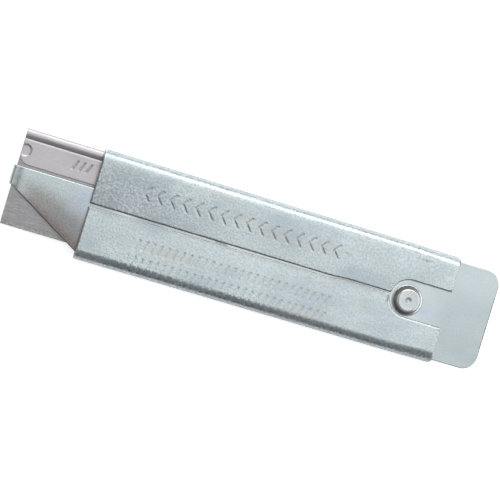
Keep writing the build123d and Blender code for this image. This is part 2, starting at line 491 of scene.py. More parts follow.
@dataclass(frozen=True)
class ZincPlate:
    """Bright zinc over rolled sheet: a fine mottle, soft clouds of tint, rubbed edges, and painted shade and
    painted highlights where the piece marks them.

    Attributes:
        light: colour of the plate.
        shade: its darker grains.
        cool: bluish cloud.
        warm: brownish cloud.
        stained_and_shaded: colour where the attribute stain_and_shade is 1, a real stain in places and
            painted shade in others.
        darkened: colour where the attribute tail_darkening is 1.
        worn_and_highlit: colour of the rubbed edges, and of rings of painted highlight.
        painted_shade_colour: colour of the painted shade, where the attribute painted_shade is 1.
        sheared_and_shaded: bare steel of the cut edges, painted dark as shade.
        blotch: how strongly the dark and the light grains take the stain and painted shade.
        roughness: lowest and highest.
        grain_per_mm: how fine the grains are.
        bump_depth: of the grains.
        metallic: less than 1 where the plating is dull.
        clouds: cells per millimetre of the cool cloud.
        cloud_share: the most that it covers.
        drifts: cells per millimetre of the warm cloud.
        drift_share: the most that it covers.
        rolled: cells per millimetre of the lines left by rolling.
        rolled_share: their height against the grains'.
        wear_and_highlight_share: the most that the worn and highlight colour covers.
        polish: roughness that a fully worn edge loses, per unit of wear.
    """

    light: Colour = (0.575, 0.635, 0.65)
    shade: Colour = (0.415, 0.485, 0.51)
    cool: Colour = (0.41, 0.49, 0.56)
    warm: Colour = (0.50, 0.48, 0.44)
    stained_and_shaded: Colour = (0.25, 0.28, 0.31)
    darkened: Colour = (0.40, 0.455, 0.475)
    worn_and_highlit: Colour = (0.80, 0.82, 0.82)
    painted_shade_colour: Colour = (0.27, 0.225, 0.19)
    sheared_and_shaded: Colour = (0.17, 0.175, 0.18)
    blotch: Span = (1.5, 0.5)
    roughness: Span = (0.26, 0.40)
    grain_per_mm: float = 2.3
    bump_depth: float = 0.040 * MM
    metallic: float = 1.0
    clouds: tuple[float, float, float] = (0.11, 0.19, 0.15)
    cloud_share: float = 0.45
    drifts: tuple[float, float, float] = (0.07, 0.30, 0.20)
    drift_share: float = 0.40
    rolled: tuple[float, float, float] = (0.25, 6.0, 6.0)
    rolled_share: float = 0.35
    wear_and_highlight_share: float = 0.55
    polish: float = 0.15

    def material(self, name: str) -> bpy.types.Material:
        """Build the finish as a material, from the grains up to the painted shade and the cut edges."""
        pattern = Pattern(name, self.metallic)
        grains = pattern.noise((self.grain_per_mm,) * 3, 3.0, 0.6)
        clouds = pattern.noise(self.clouds, 2.0)
        drifts = pattern.noise(self.drifts, 3.0)
        rolled = pattern.noise(self.rolled, 2.0)
        colour = pattern.blended(pattern.ranged(grains, (0.36, 0.64), (0.0, 1.0)), self.shade, self.light)
        cool = pattern.ranged(clouds, (0.50, 0.72), (0.0, self.cloud_share))
        warm = pattern.ranged(drifts, (0.54, 0.74), (0.0, self.drift_share))
        # Rubbed edges of the sheets, and the rivet's rings of painted highlight: lighter and smoother.
        worn_and_highlit = pattern.ranged(pattern.attribute("wear_and_highlight"), (0.2, 1.0), (0.0, self.wear_and_highlight_share))
        takes = pattern.ranged(grains, (0.38, 0.62), self.blotch)
        layers = (
            (cool, self.cool),
            (warm, self.warm),
            # Darker towards the tail and its lower corner.
            (pattern.attribute("tail_darkening"), self.darkened),
            (worn_and_highlit, self.worn_and_highlit),
            (pattern.combined("MULTIPLY", pattern.attribute("stain_and_shade"), takes), self.stained_and_shaded),
            # Painted shade along the seam and in the carrier's spots.
            (pattern.attribute("painted_shade"), self.painted_shade_colour),
            # Cut faces: bare steel, painted dark as shade.
            (pattern.attribute("cut_edge_and_shade"), self.sheared_and_shaded),
        )
        for share, tint in layers:
            colour = pattern.blended(share, colour, tint)
        pattern.drive("Base Color", colour)
        rough = pattern.ranged(pattern.combined("ADD", grains, clouds), (0.7, 1.3), self.roughness)
        polished = pattern.combined("MULTIPLY", worn_and_highlit, self.polish)
        pattern.drive("Roughness", pattern.combined("SUBTRACT", rough, polished))
        lines = pattern.combined("MULTIPLY", rolled, self.rolled_share)
        pattern.bump(pattern.combined("ADD", grains, lines), self.bump_depth)
        return pattern.material


@dataclass(frozen=True)
class DrawnSteel:
    """Plain steel with fine lines left by rolling or grinding.

    Attributes:
        light: colour of the metal.
        shade: colour in the lines.
        lines_per_mm: how fine the lines are along each axis; the smallest number is the way they run.
        roughness: lowest and highest.
        bump_depth: of the lines.
        speckle_per_mm: how fine the speckle over the lines is.
        clouds: cells per millimetre of the dull clouds.
        cloud_share: the most that they cover.
        ground: colour where the attribute ground is 1.
        ground_rough: roughness that is added there.
    """

    light: Colour
    shade: Colour
    lines_per_mm: tuple[float, float, float]
    roughness: Span
    bump_depth: float = 0.003 * MM
    speckle_per_mm: float = 3.0
    clouds: tuple[float, float, float] = (0.20, 0.25, 0.25)
    cloud_share: float = 0.35
    ground: Colour = (0.66, 0.66, 0.66)
    ground_rough: float = 0.35

    def material(self, name: str) -> bpy.types.Material:
        """Build the finish as a material."""
        pattern = Pattern(name)
        lines = pattern.noise(self.lines_per_mm, 3.0, 0.65)
        speckle = pattern.noise((self.speckle_per_mm,) * 3, 2.0)
        clouds = pattern.noise(self.clouds, 2.0)
        mixed = pattern.combined("ADD", lines, pattern.combined("MULTIPLY", speckle, 0.5))
        colour = pattern.blended(pattern.ranged(mixed, (0.55, 0.95), (0.0, 1.0)), self.shade, self.light)
        dull = pattern.ranged(clouds, (0.45, 0.75), (0.0, self.cloud_share))
        colour = pattern.blended(dull, colour, self.shade)
        patchy = pattern.ranged(speckle, (0.35, 0.65), (0.25, 1.0))
        ground = pattern.combined("MULTIPLY", pattern.attribute("ground"), patchy)
        pattern.drive("Base Color", pattern.blended(ground, colour, self.ground))
        rough = pattern.ranged(pattern.combined("ADD", lines, clouds), (0.7, 1.3), self.roughness)
        coarse = pattern.combined("MULTIPLY", ground, self.ground_rough)
        pattern.drive("Roughness", pattern.combined("ADD", rough, coarse))
        pattern.bump(mixed, self.bump_depth)
        return pattern.material


SLEEVE_ZINC = ZincPlate()
CARRIER_ZINC = ZincPlate(
    light=(0.61, 0.685, 0.695),
    shade=(0.52, 0.59, 0.605),
    warm=(0.55, 0.525, 0.485),
    painted_shade_colour=(0.44, 0.50, 0.60),
    stained_and_shaded=(0.245, 0.205, 0.19),
    blotch=(1.12, 0.88),
    roughness=(0.25, 0.34),
    grain_per_mm=2.4,
    bump_depth=0.010 * MM,
)
RIVET_ZINC = ZincPlate(
    light=(0.62, 0.63, 0.63),
    shade=(0.56, 0.58, 0.58),
    roughness=(0.20, 0.28),
    bump_depth=0.012 * MM,
    metallic=0.70,
)
SPINE_STEEL = DrawnSteel(
    light=(0.565, 0.545, 0.565),
    shade=(0.49, 0.475, 0.495),
    lines_per_mm=(0.3, 7.0, 7.0),
    roughness=(0.34, 0.44),
)
BLADE_STEEL = DrawnSteel(
    light=(0.46, 0.46, 0.465),
    shade=(0.31, 0.31, 0.32),
    lines_per_mm=(0.6, 5.0, 5.0),
    roughness=(0.30, 0.42),
    bump_depth=0.008 * MM,
)
SPRING_STEEL = DrawnSteel(
    light=(0.22, 0.24, 0.30),
    shade=(0.13, 0.14, 0.18),
    lines_per_mm=(0.3, 6.0, 6.0),
    roughness=(0.25, 0.38),
)


@dataclass
class Piece:
    """What every finished piece of the cutter has.

    Attributes:
        node: the design node that it stands for.
        slot: name of its finish.
        body: what it rides on.
    """

    node: str
    slot: str
    body: Body

    def place(self, made: bpy.types.Object, finish: ZincPlate | DrawnSteel) -> bpy.types.Object:
        """Dress a finished piece, fix it to its body and let it stand for its design node."""
        made.data.materials.append(finish.material(self.slot))
        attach(made, self.body.value)
        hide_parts(self.node)
        log.info("%s: %d points, %d faces", made.name, len(made.data.vertices), len(made.data.polygons))
        return made


# ---------------------------------------------------------------------------------------------------------
# Sleeve
# ---------------------------------------------------------------------------------------------------------


@dataclass
class Sleeve(Piece):
    """The folded sheet that everything slides in, with its seam, rear slot and stamped marks.

    Its cross-section runs from the seam edge of the upper flange, round both sides and across the back, to
    the seam edge of the lower flange. Along X the seam edges draw together and then part round the slot.
    A pair of numbers for the flanges, the sides or the bends gives the upper one, at +Y, first.

    Attributes:
        bend: outer radius of the long bends; worn_bend and rear_bend are what wear has made of it.
        seam_climb, seam_jog: how far the seam rises along the sleeve, and all at once before the slot.
        gap_mouth, gap_rear, gap_jog: width of the seam at both ends, and what the jog takes off it.
        sinks, bows: how deep the flanges' seam edges lie, and the power of the way down to them.
        mouth_lift: how much of that the upper flange has back at the mouth.
        nick_at, nick_reach, nick_stain: the nick's place, its size and the size of its dark spot.
        mouth_painted_shade, side_painted_shades: share of painted shade on the upper flange by the mouth,
            and on the outside of the bends.
        seam_painted_shade, seam_shade_reach: share of brown painted shade along the seam, and where it ends.
    """

    sheet: float = 0.5 * MM
    bend: float = 1.95 * MM
    worn_bend: float = 2.2 * MM
    rear_bend: float = 2.7 * MM
    flare_run: float = 12.0 * MM
    seam_y: float = -0.20 * MM
    seam_climb: float = 0.16 * MM
    seam_jog: float = 0.32 * MM
    jog_from: float = 12.0 * MM
    jog_run: float = 4.5 * MM
    gap_mouth: float = 0.60 * MM
    gap_rear: float = 0.40 * MM
    gap_jog: float = 0.16 * MM
    slot_y: float = 0.1 * MM
    slot_radius: float = 3.75 * MM
    slot_end: float = 25.0 * MM
    rim: float = 0.2 * MM
    roll: float = 0.36 * MM
    seam_roll: float = 0.12 * MM
    sinks: Span = (0.10 * MM, 0.20 * MM)
    bows: Span = (2.0, 1.25)
    mouth_lift: float = 0.12 * MM
    lift_run: float = 24 * MM
    marks_from: float = -27.5 * MM
    marks_to: float = 14.5 * MM
    chevron_pitch: float = 2.6 * MM
    chevron_y: float = 5.0 * MM
    chevron_reach: float = 1.5 * MM
    chevron_depth: float = 0.13 * MM
    chevron_lean: float = 0.8
    dash_pitch: float = 1.5 * MM
    dash_rows: Span = (-4.9 * MM, -8.3 * MM)
    dash_reach: float = 1.15 * MM
    dash_depth: float = 0.08 * MM
    dash_lean: float = 0.35
    groove: float = 0.17 * MM
    nick_at: Span = (30.1 * MM, 8.3 * MM)
    nick_reach: Span = (0.9 * MM, 0.20 * MM)
    nick_stain: Span = (0.9 * MM, 0.22 * MM)
    nick_depth: float = 0.07 * MM
    mouth_painted_shade: float = 0.50
    mouth_painted_shade_run: float = 34 * MM
    side_painted_shades: Span = (0.25, 0.85)
    seam_painted_shade: float = 0.40
    seam_shade_reach: float = 0.50 * MM

    def __post_init__(self) -> None:
        """Read the sleeve's place from the frame."""
        self.low, self.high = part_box(self.node)

    def stations(self) -> Array:
        """Places along X: close together under the stamped marks and round the end of the slot."""
        first_step = 0.26
        end_run = 1.2 * MM
        turn = np.concatenate([[0.0], np.linspace(first_step, math.pi / 2, 13)])
        round_x = self.slot_end + self.slot_radius * (1.0 - np.cos(turn))
        straight = spaced(
            (self.low.x, self.low.x + end_run, 5),
            (self.low.x + end_run, self.marks_from, 10),
            (self.marks_from, self.marks_to, 236),
            (self.marks_to, self.slot_end, 14),
        )
        rear = spaced(
            (self.slot_end + self.slot_radius, self.high.x - end_run, 12),
            (self.high.x - end_run, self.high.x, 5),
        )
        return np.concatenate([straight[:-1], round_x[:-1], rear])

    def inner_edge(self, x: Array, side: float) -> Array:
        """Y of a flange's inner edge: half the narrowing gap from the seam, or the slot's circle and side.

        The seam climbs evenly from the mouth and steps up before the slot, where its gap is closing.
        """
        share = np.clip((x - self.low.x) / (self.slot_end - self.low.x), 0.0, 1.0)
        step = smooth((x - self.jog_from) / self.jog_run)
        seam = self.seam_y + self.seam_climb * share + self.seam_jog * step
        gap = self.gap_mouth + (self.gap_rear - self.gap_mouth) * share - self.gap_jog * step
        along = np.clip((self.slot_end + self.slot_radius - x) / self.slot_radius, 0.0, 1.0)
        slot = np.where(x > self.slot_end, self.slot_radius * np.sqrt(1.0 - along**2), 0.0)
        return side * np.maximum(side * seam + gap / 2, side * self.slot_y + slot)

    def bend_loss(self, points: Array) -> Array:
        """Depth taken off the outside of the long bends, which are rounder than their inside.

        A point outside the larger radius, measured from that radius' centre, is pressed down to it. The
        radius grows towards the rear end.
        """
        x, y, z = points[..., 0], np.abs(points[..., 1]), points[..., 2]
        middle_z = (self.low.z + self.high.z) / 2
        grows = smooth((x - self.high.x + self.flare_run) / self.flare_run)
        radius = self.worn_bend + (self.rear_bend - self.worn_bend) * grows
        past_y = np.maximum(y - (self.high.y - radius), 0.0)
        past_z = np.abs(z - middle_z) + radius - (self.high.z - middle_z)
        return np.maximum(np.hypot(past_y, np.maximum(past_z, 0.0)) - radius, 0.0)

    def sink(self, x: Array, side: float) -> Array:
        """How far a flange's seam edge lies below flat; the upper flange's is lifted by the mouth."""
        upper, lower = self.sinks
        lift = self.mouth_lift * (1.0 - smooth((x - self.low.x) / self.lift_run))
        return upper - lift if side > 0 else np.full_like(x, lower)

    def flange(self, x: Array, shares: Array, side: float) -> Array:
        """One front flange from its seam edge (share 0) to the start of its bend (share 1).

        Y runs straight between the two; Z falls below flat by the sink times a power of the distance from
        the bend, as a share of the flange's width: the upper flange bows, the lower one leans.
        """
        root = side * (self.high.y - self.bend)
        edge = self.inner_edge(x, side)
        y = edge + (root - edge) * shares[:, None]
        away = np.clip((root - y) / (root - self.seam_y), 0.0, None)
        bow = self.bows[0] if side > 0 else self.bows[1]
        return grid_points(x, y, self.high.z - self.sheet / 2 - self.sink(x, side) * away**bow)

    def corner(self, x: Array, angles: Array, side: float, top: bool) -> Array:
        """A long bend: its centre plus the middle radius times the cosine and sine of each angle."""
        turn = np.radians(angles)[:, None]
        radius = self.bend - self.sheet / 2
        y = side * (self.high.y - self.bend + radius * np.cos(turn))
        rise = self.bend - radius * np.sin(turn)
        return grid_points(x, y, self.high.z - rise if top else self.low.z + rise)

    def back(self, x: Array, shares: Array) -> Array:
        """The flat back, from the +Y bend (share 0) to the -Y bend (share 1)."""
        root = self.high.y - self.bend
        return grid_points(x, root - 2 * root * shares[:, None], self.low.z + self.sheet / 2)

    def relief(self, middle: Array) -> Array:
        """Depth of the stamped marks: chevrons that point to the blade, two rows of dashes and one nick."""
        x, y, z = middle[..., 0], middle[..., 1], middle[..., 2]
        on_face = smooth((z - self.high.z + self.bend) / (0.8 * MM))
        end_fade = 0.6 * MM
        ends = smooth((x - self.marks_from) / end_fade) * smooth((self.marks_to - x) / end_fade)
        above = y - self.chevron_y
        along = x - self.marks_from
        chevrons = self.strokes(
            along - self.chevron_lean * np.abs(above), self.chevron_pitch, above, self.chevron_reach
        )
        dashes = sum(
            self.strokes(along - self.dash_lean * (y - row), self.dash_pitch, y - row, self.dash_reach)
            for row in self.dash_rows
        )
        depth = ends * (self.chevron_depth * chevrons + self.dash_depth * dashes)
        return on_face * (depth + self.nick_depth * spot(x, y, self.nick_at, self.nick_reach))

    def strokes(self, along: Array, pitch: float, above: Array, reach: float) -> Array:
        """One row of stamped strokes: the bell of the distance to the nearest, faded at the row's edges.

        Args:
            along: distance along the row, already leaned as the strokes lean.
            pitch: from stroke to stroke.
            above: distance from the row's middle line.
            reach: half the row's height.

        Returns:
            The share of the full depth.
        """
        apart = np.abs((along + pitch / 2) % pitch - pitch / 2)
        return bell(apart / self.groove) * smooth((reach - np.abs(above)) / (0.25 * MM))

    def stain_and_shade(self, points: Array) -> Array:
        """Where the plate is dark: painted shade on the upper flange by the mouth and on the outside of the
        bends, and a real stain round the nick.
        """
        x, y, z = points.T
        face = smooth((z - self.high.z + 0.4 * MM) / (0.3 * MM))
        across = smooth(y / (0.5 * MM)) * smooth((self.high.y - y) / (7.0 * MM))
        # Painted shade on the upper flange, strongest by the mouth.
        mouth = 1.0 - 0.9 * smooth((x - self.low.x) / self.mouth_painted_shade_run)
        nick = 0.6 * spot(x, y, self.nick_at, self.nick_stain)
        # Painted shade on the outside of both bends, deepening their dark reflection.
        upper, lower = self.side_painted_shades
        outside = lower * smooth((self.low.y + 1.3 * MM - y) / (0.5 * MM))
        outside += upper * smooth((y - self.high.y + 0.5 * MM) / (0.3 * MM))
        outside *= smooth((z - 0.8 * MM) / (0.8 * MM))
        return np.clip(face * (self.mouth_painted_shade * across * mouth + nick) + outside, 0.0, 1.0)

    def painted_shade(self, points: Array) -> Array:
        """Painted shade, brown, along both edges of the seam, ending before the slot."""
        x, y, z = points.T
        away = np.maximum(y - self.inner_edge(x, 1.0), self.inner_edge(x, -1.0) - y)
        face = smooth((z - self.high.z + 1.2 * MM) / (0.3 * MM))
        ahead = 1.0 - smooth((x - self.slot_end + 2.0 * MM) / (2.0 * MM))
        return self.seam_painted_shade * ahead * face * (1.0 - smooth(away / self.seam_shade_reach))

    def build(self) -> bpy.types.Object:
        """Make, dress and place the sleeve."""
        x = self.stations()
        upper = spaced((0.0, 0.26, 6), (0.26, 0.72, 24), (0.72, 1.0, 8))
        lower = spaced((0.0, 0.35, 7), (0.35, 0.66, 18), (0.66, 0.78, 4), (0.78, 1.0, 12))
        turn = np.linspace(90.0, 0.0, 15)
        middle = np.concatenate(
            [
                self.flange(x, upper[:-1], 1.0),
                self.corner(x, turn, 1.0, top=True),
                self.corner(x, turn[::-1], 1.0, top=False),
                self.back(x, np.linspace(0.0, 1.0, 13))[1:-1],
                self.corner(x, turn, -1.0, top=False),
                self.corner(x, turn[::-1], -1.0, top=True),
                self.flange(x, lower[:-1], -1.0)[::-1],
            ]
        )
        roll = np.full(middle.shape[:2], self.roll)
        behind_seam = smooth((x - self.slot_end + 0.1 * MM) / (0.3 * MM))
        roll[-1] = self.seam_roll + (self.roll - self.seam_roll) * behind_seam
        sheet = SheetMetal(middle, self.sheet, self.rim, roll)
        skin = middle + sheet.normals() * self.sheet / 2
        sheet.relief = self.relief(middle) + self.bend_loss(skin)
        made = sheet.build(self.node + "_shell")
        points = mesh_points(made)
        # Stain and painted shade, then the seam's painted shade.
        mark_points(made, "stain_and_shade", self.stain_and_shade(points))
        # Painted shade along the seam.
        mark_points(made, "painted_shade", self.painted_shade(points))
        return self.place(made, SLEEVE_ZINC)


# ---------------------------------------------------------------------------------------------------------
# Carrier and what it holds
# ---------------------------------------------------------------------------------------------------------


@dataclass
class BladeCarrier(Piece):
    """The folded strip: tail plate, jog, front leaf with the flap, fold round the blade, back leaf.

    Its middle surface is the strip's side view in XZ carried across Y between two edges, which are
    functions of X: the flap's slanting edge, the step behind the blade's spine and the tail's corners.

    Attributes:
        leaf_mid: from the blade's middle to the middle of each leaf.
        fold_low, leaf_top: Y of the fold's lower end and of the leaves' upper edge.
        notch, step: where the strip widens behind the blade, and within what length.
        jog: from where to where the strip climbs to the tail's level.
        flap_bow, fold_dip: how far the flap stands out, and how far the fold stays behind it.
        slant_painted_shades: shares of the wide and the narrow band of brown painted shade along the
            slanting edge.
        darkening_level, darkening_on_tail: share of darkening everywhere, and what the tail has more.
        shade_spots, shade_spot_reaches: shares and sizes of the blue spots of painted shade, the flap's
            first.
    """

    sheet: float = 0.5 * MM
    rim: float = 0.15 * MM
    roll: float = 0.17 * MM
    leaf_mid: float = 0.415 * MM
    blade_z: float = 2.0 * MM
    fold_low: float = -0.75 * MM
    leaf_top: float = 3.1 * MM
    flap_start: float = -36.1 * MM
    notch: float = -13.9 * MM
    step: float = 0.02 * MM
    jog: Span = (-11.4 * MM, -8.9 * MM)
    back_end: float = -8.9 * MM
    tail_corner: float = 3.0 * MM
    jog_radius: float = 1.2 * MM
    flap_bow: float = 0.34 * MM
    fold_dip: float = 0.14 * MM
    slant_painted_shades: Span = (0.64, 0.30)
    darkening_level: float = 0.12
    darkening_on_tail: float = 0.78
    shade_spots: Span = (0.85, 0.80)
    shade_spot_reaches: Span = (2.6 * MM, 1.7 * MM)
    rows: int = 30

    def __post_init__(self) -> None:
        """Read the carrier's place from the frame."""
        self.low, self.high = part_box(self.node)
        self.blade_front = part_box("razor_blade")[0].x
        self.button = sum(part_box("stop_rivet"), Vector()) / 2

    def side_view(self) -> tuple[Array, Array, Array]:
        """The strip's side view from the tail, round the fold, to the end of the back leaf.

        Returns:
            X and Z of the middle line, and 1 on the front leaf and tail, 0 behind the fold.
        """
        top = self.high.z - self.sheet / 2
        fold_x = self.low.x + self.sheet / 2 + self.leaf_mid
        front = self.blade_z + self.leaf_mid
        corners = [(self.high.x, top), (self.jog[1], top), (self.jog[0], front), (fold_x, front)]
        line = refined(bent_line(corners, self.jog_radius, 5), 0.5 * MM)
        tail = quarter_turn(self.high.x - self.tail_corner, self.high.x, 10)[::-1]
        tail_line = np.stack([tail, np.full_like(tail, top)], -1)
        line = np.concatenate([tail_line, line[line[:, 0] < tail[-1] - 0.2 * MM]])
        for stop in (self.notch, self.notch - self.step, self.flap_start, self.blade_front):
            at = int(np.searchsorted(-line[:, 0], -stop))
            height = np.interp(stop, line[::-1, 0], line[::-1, 1])
            line = np.insert(line, at, (stop, height), axis=0)
        near = line[:, 0] > fold_x + 0.05 * MM
        fold = arc((fold_x, self.blade_z), self.leaf_mid, 90.0, 270.0, 14)
        rear = spaced(
            (fold_x, self.blade_front, 1),
            (self.blade_front, self.flap_start, 18),
            (self.flap_start, self.notch - self.step, 24),
            (self.notch - self.step, self.notch, 1),
            (self.notch, self.back_end, 5),
        )[1:]
        behind = np.stack([rear, np.full_like(rear, self.blade_z - self.leaf_mid)], -1)
        x, z = np.concatenate([line[near], fold, behind]).T
        turning = np.linspace(1.0, 0.0, len(fold))
        return x, z, np.concatenate([np.ones(int(near.sum())), turning, np.zeros(len(behind))])

    def slant(self, x: Array) -> Array:
        """Y of the flap's slanting edge, straight from the fold to where the strip has its full width."""
        return np.interp(x, [self.blade_front, self.flap_start], [self.fold_low, self.low.y])

    def edges(self, x: Array) -> tuple[Array, Array]:
        """Lowest and highest Y of the strip at each X."""
        trim = corner_cut(self.high.x - x, self.tail_corner)
        top = np.where(x < self.notch - self.step / 2, self.leaf_top, self.high.y)
        return self.slant(x) + trim, top - trim

    def raised(self, x: Array, y: Array, is_front: Array) -> Array:
        """How far the flap stands above flat: it climbs past the fold and bows down to its slanting edge.

        The bow is full along the flap's top edge and falls with the square of the distance below it.
        """
        out = 1.0 - smooth((x - self.flap_start - 4 * MM) / (5 * MM))
        past_fold = smooth((x - self.blade_front - 0.55 * MM) / (0.8 * MM))
        below = np.clip((self.leaf_top - y) / (self.leaf_top - self.low.y), 0.0, 1.0)
        bow = self.flap_bow * (1.0 - below**2) * smooth((x - self.blade_front) / (14 * MM))
        return is_front * out * (self.fold_dip * past_fold + bow)

    def stain_and_shade(self, points: Array) -> Array:
        """Painted shade, brown, along the flap's slanting edge, and the dark sheared end of the tail."""
        x, y, z = points.T
        slant = self.slant(x)
        share = (y - slant) / (self.leaf_top - slant)
        wide, narrow = self.slant_painted_shades
        # Painted shade, in two bands along the slanting edge.
        close = wide * (1.0 - smooth((share - 0.34) / 0.5)) + narrow * (1.0 - smooth(share / 0.25))
        out = 1.0 - smooth((x - self.flap_start) / (3 * MM))
        front = smooth((z - self.blade_z) / (0.4 * MM)) * smooth((x - self.low.x) / (6 * MM))
        sheared_and_shaded = smooth((x - self.high.x + 0.22 * MM) / (0.1 * MM))
        return np.clip(close * out * front + sheared_and_shaded, 0.0, 1.0)

    def tail_darkening(self, points: Array) -> Array:
        """Darkening over the whole strip, strongest on the tail plate and towards the tail's lower corner.
        """
        x, y, _ = points.T
        tail = smooth((x - self.high.x + 17 * MM) / (9 * MM)) * (1.0 - 0.35 * smooth(y / (8 * MM)))
        return self.darkening_level + self.darkening_on_tail * tail

    def painted_shade(self, points: Array) -> Array:
        """Two spots of blue painted shade: on the flap by the sleeve's mouth, and on the plate behind the
        button.
        """
        x, y, _ = points.T
        # Painted shade where the sleeve's mouth meets the flap, and painted shade and reflection of the
        # button.
        places = (
            (self.flap_start - 2.4 * MM, 0.4 * MM),
            (self.button.x + 4.2 * MM, self.button.y - 1.3 * MM),
        )
        spots = zip(self.shade_spots, places, self.shade_spot_reaches)
        return sum(share * spot(x, y, place, (reach, reach)) for share, place, reach in spots)

    def build(self) -> bpy.types.Object:
        """Make, dress and place the carrier."""
        x, z, is_front = self.side_view()
        bottom, top = self.edges(x)
        y = bottom + (top - bottom) * np.linspace(0.0, 1.0, self.rows)[:, None]
        middle = grid_points(x, y, z + self.raised(x, y, is_front))
        made = SheetMetal(middle, self.sheet, self.rim, self.roll).build(self.node + "_strip")
        points = mesh_points(made)
        # Stain and painted shade, darkening, and spots of painted shade.
        mark_points(made, "stain_and_shade", self.stain_and_shade(points))
        mark_points(made, "tail_darkening", self.tail_darkening(points))
        mark_points(made, "painted_shade", self.painted_shade(points))
        return self.place(made, CARRIER_ZINC)


@dataclass
class StopRivet(Piece):
    """The button: a punch-marked disc on a cone with a lip, its shank and the head closed below.

    Attributes:
        edge, foot: radii of the arcs that round the disc and sweep out to the plate.
        steepest: slope of the cone between them, in degrees.
        lower_head, lower_rise, lower_edge: radius, height and rounding of the head below.
        punch, punch_depth: radius and depth of the punch mark.
        lip_rise, lip_width, dish: height and width of the lip round it, and how deep the disc is dished.
        highlight_rings, highlight_ring_width: radii of the two rings of painted highlight, and their width.
    """

    edge: float = 0.50 * MM
    foot: float = 0.60 * MM
    steepest: float = 59.0
    shank: float = 1.2 * MM
    lower_head: float = 2.0 * MM
    lower_rise: float = 0.5 * MM
    lower_edge: float = 0.2 * MM
    punch: float = 0.45 * MM
    punch_depth: float = 0.13 * MM
    lip_rise: float = 0.02 * MM
    lip_width: float = 0.2 * MM
    dish: float = 0.04 * MM
    highlight_rings: Span = (2.20 * MM, 2.95 * MM)
    highlight_ring_width: float = 0.16 * MM
    segments: int = 128

    def __post_init__(self) -> None:
        """Read the rivet's place from the frame."""
        self.low, self.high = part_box(self.node)
        self.plate_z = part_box("blade_carrier")[1].z

    def outline(self) -> Array:
        """(radius, height) from the middle of the disc, down the flared side, to the lower head.

        The punch mark is a bell-shaped hollow with a low lip round it, and the disc is dished by a hair.
        The side is a cone between two arcs: one rounds the disc's edge, the other sweeps out to the plate.
        The disc's radius is what the two arcs and the cone leave of the foot's.
        """
        top = self.high.z
        base = (self.high.x - self.low.x) / 2
        steep = math.radians(self.steepest)
        bends = self.edge + self.foot
        cone = (top - self.plate_z - bends * (1.0 - math.cos(steep))) / math.sin(steep)
        disc_radius = base - bends * math.sin(steep) - cone * math.cos(steep)
        radius = np.linspace(0.0, disc_radius, 34)
        hollow = self.punch_depth * np.exp(-((radius / self.punch) ** 3))
        lip = self.lip_rise * bell((radius - 1.7 * self.punch) / self.lip_width)
        dish = self.dish * (1.0 - (radius / disc_radius) ** 2)
        disc = np.stack([radius, top - hollow + lip - dish], -1)
        edge = arc((disc_radius, top - self.edge), self.edge, 90.0, 90.0 - self.steepest, 12)[1:]
        foot = arc((base, self.plate_z + self.foot), self.foot, -90.0 - self.steepest, -90.0, 14)
        side = refined(np.concatenate([edge, foot]), 0.08 * MM)
        shoulder = self.low.z + self.lower_rise
        below = [(self.shank, self.plate_z), (self.shank, shoulder), (self.lower_head, shoulder)]
        turn = (self.lower_head - self.lower_edge, self.low.z + self.lower_edge)
        closed = arc(turn, self.lower_edge, 0.0, -90.0, 4)
        return np.concatenate([disc, side, below, closed, [(0.0, self.low.z)]])

    def build(self) -> bpy.types.Object:
        """Make, dress and place the rivet, with two rings of painted highlight: round its disc and by its
        foot.
        """
        centre = (self.low + self.high) / 2
        axis = Vector((centre.x, centre.y, 0.0))
        made = turned(self.node + "_button", self.outline(), axis, self.segments)
        x, y, z = mesh_points(made).T
        radius = np.hypot(x - centre.x, y - centre.y)
        # Two rings of painted highlight, stored as wear_and_highlight.
        rings = sum(bell((radius - ring) / self.highlight_ring_width) for ring in self.highlight_rings)
        mark_points(made, "wear_and_highlight", rings * (z > self.plate_z))
        return self.place(made, RIVET_ZINC)


@dataclass
class FrictionSpring(Piece):
    """The leaf spring under the tail plate: flat at the rivet, bowed down, its tip turned up.

    Attributes:
        corner: radius of its four corners.
        flat, reach: how far in front of the rivet it starts to fall, and rubs on the sleeve's back.
        tip_rise: how far its tip stands above that.
    """

    sheet: float = 0.3 * MM
    corner: float = 1.5 * MM
    flat: float = 3.6 * MM
    reach: float = 16.0 * MM
    tip_rise: float = 0.7 * MM
    bend: float = 3.0 * MM
    rim: float = 0.06 * MM
    rows: int = 14

    def __post_init__(self) -> None:
        """Read the spring's place from the frame."""
        self.low, self.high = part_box(self.node)
        self.rivet_x = sum(corner.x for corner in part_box("stop_rivet")) / 2

    def build(self) -> bpy.types.Object:
        """Make, dress and place the spring.

        Its side view is a line of three straight runs with rounded corners, carried across Y; the ends are
        cut to quarter circles at their corners.
        """
        top, rub = self.high.z - self.sheet / 2, self.low.z + self.sheet / 2
        corners = [
            (self.high.x, top),
            (self.rivet_x - self.flat, top),
            (self.rivet_x - self.reach, rub),
            (self.low.x, rub + self.tip_rise),
        ]
        line = refined(bent_line(corners, self.bend, 8), 0.3 * MM)
        x, z = line.T
        half = (self.high.y - self.low.y) / 2
        reach = half - corner_cut(np.minimum(x - self.low.x, self.high.x - x), self.corner)
        middle = grid_points(x, np.linspace(-1.0, 1.0, self.rows)[:, None] * reach, z)
        made = SheetMetal(middle, self.sheet, self.rim, self.rim).build(self.node + "_leaf")
        return self.place(made, SPRING_STEEL)


